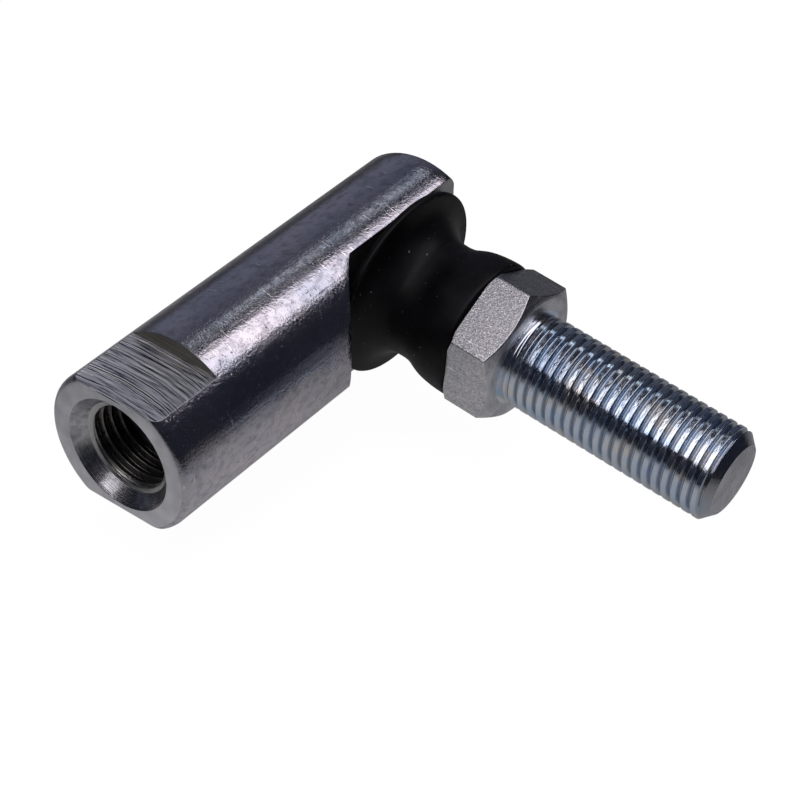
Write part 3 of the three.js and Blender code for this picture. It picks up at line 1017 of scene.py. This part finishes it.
def lit_paper(name, colour, white, glow, fades=()):
    """Pale paper that also shines by itself, so that shadows on it stay faint. Its colour and glow fade away
    from the object as a painted pool of light, where fades gives (distance as a share of FADE_END, share
    left) stops."""
    surface = Surface(name, metallic=0.0)
    fibres = surface.noise(2.0, detail=4.0)
    shade = tuple(c * white for c in colour)
    tone = surface.colours(fibres, [(0.3, tuple(c * 0.97 for c in shade)), (0.7, shade)])
    surface.shader.inputs["Emission Color"].default_value = (*colour, 1)
    surface.shader.inputs["Emission Strength"].default_value = glow
    if fades:
        x, y, _ = surface.axes()
        from_middle = [surface.math("SUBTRACT", at, middle) for at, middle in zip((x, y), OBJECT_MIDDLE)]
        share = surface.math("DIVIDE", surface.distance(*from_middle), FADE_END)
        left = surface.colours(share, [(at, (grey, grey, grey)) for at, grey in fades])
        both = {0: 1.0, 6: tone, 7: left}
        tone = surface.node("Mix", both, data_type="RGBA", blend_type="MULTIPLY").outputs[2]
        surface.feed(surface.shader.inputs["Emission Color"], left)
    return surface.looks(tone, 0.9)


# In metres. The floor is below the part, so that the stud's tip can swing clear of it.
FLOOR_HEIGHT = -0.005
TABLE_BELOW_FLOOR = 0.0002
# Where the table's light is strongest, in mm from the ball, and how far off it has gone.
OBJECT_MIDDLE = (8.0, -26.0)
FADE_END = 300.0
TABLE_FADES = [(0.0, 1.0), (0.12, 0.9), (0.2, 0.6), (0.33, 0.36), (0.6, 0.13), (1.0, 0.02)]


def make_stage():
    """The floor that the camera sees, and the table that the metal reflects, which is greyer."""
    floor = plane("floor", 8.0, FLOOR_HEIGHT)
    dress(floor, lit_paper("floor_paper", (1.0, 1.0, 1.0), 0.1, 0.97))
    floor.visible_glossy = False
    floor.visible_diffuse = False
    table = plane("table_in_reflections", 3.0, FLOOR_HEIGHT - TABLE_BELOW_FLOOR)
    dress(table, lit_paper("table_paper", (1.0, 0.99, 0.97), 0.9, 0.2, TABLE_FADES))
    table.visible_camera = False
    table.visible_shadow = False


def overhead_light(name, heading, along, across, height, radiance, colour):
    """A soft box level with the floor, at a height in metres. heading is a compass angle, 0 being +Y and 90
    being +X; along and across are where it starts and ends, as shares of its height."""
    length, width = (along[1] - along[0]) * height, (across[1] - across[0]) * height
    data = bpy.data.lights.new(name, "AREA")
    data.shape = "RECTANGLE"
    data.size, data.size_y = width, length
    data.energy = radiance * math.pi * length * width
    data.color = colour
    light = bpy.data.objects.new(name, data)
    bpy.context.scene.collection.objects.link(light)
    turn = Matrix.Rotation(-math.radians(heading), 4, "Z")
    middle = Vector((sum(across) / 2, sum(along) / 2, 1)) * height
    light.matrix_world = turn @ Matrix.Translation(middle)


def direction(azimuth, elevation):
    """A unit vector from a compass angle and an elevation in degrees."""
    a, e = math.radians(azimuth), math.radians(elevation)
    return Vector((math.sin(a) * math.cos(e), math.cos(a) * math.cos(e), math.sin(e)))


def make_lights():
    overhead_light("long_softbox", 13, (-1.4, 1.15), (-0.14, 0.45), 1.0, 1.75, (1.0, 0.95, 1.0))
    overhead_light("side_strip", -24, (0.8, 1.02), (-0.1, 0.1), 1.0, 1.2, (0.85, 0.93, 1.0))


# Where the glow comes from, as a compass angle and an elevation in degrees, and its colours towards there.
GLOW_FROM = (-62, 8)
GLOW_STOPS = [(0.55, (0.018, 0.02, 0.03, 1)), (0.95, (0.15, 0.16, 0.21, 1))]


def make_world():
    """Dark surroundings with a faint bluish glow from one side, and plain white behind for the camera."""
    world = bpy.data.worlds.new("studio")
    bpy.context.scene.world = world
    world.use_nodes = True
    nodes, links = world.node_tree.nodes, world.node_tree.links
    where = nodes.new("ShaderNodeTexCoord")
    lobe = nodes.new("ShaderNodeVectorMath")
    lobe.operation = "DOT_PRODUCT"
    lobe.inputs[1].default_value = direction(*GLOW_FROM)
    links.new(where.outputs["Generated"], lobe.inputs[0])
    ramp = nodes.new("ShaderNodeValToRGB")
    for element, (position, colour) in zip(ramp.color_ramp.elements, GLOW_STOPS):
        element.position, element.color = position, colour
    links.new(lobe.outputs["Value"], ramp.inputs["Fac"])
    surroundings = nodes["Background"]
    links.new(ramp.outputs["Color"], surroundings.inputs["Color"])
    backdrop = nodes.new("ShaderNodeBackground")
    backdrop.inputs["Color"].default_value = (1, 1, 1, 1)
    path = nodes.new("ShaderNodeLightPath")
    mix = nodes.new("ShaderNodeMixShader")
    links.new(path.outputs["Is Camera Ray"], mix.inputs["Fac"])
    links.new(surroundings.outputs["Background"], mix.inputs[1])
    links.new(backdrop.outputs["Background"], mix.inputs[2])
    links.new(mix.outputs["Shader"], nodes["World Output"].inputs["Surface"])


# ---- Scene ---------------------------------------------------------------------------------------

make_camera()
make_stage()
make_lights()
make_world()
bpy.context.scene.view_settings.view_transform = "Standard"

dress_pieces(make_housing(), make_ball_stud(), make_boot())
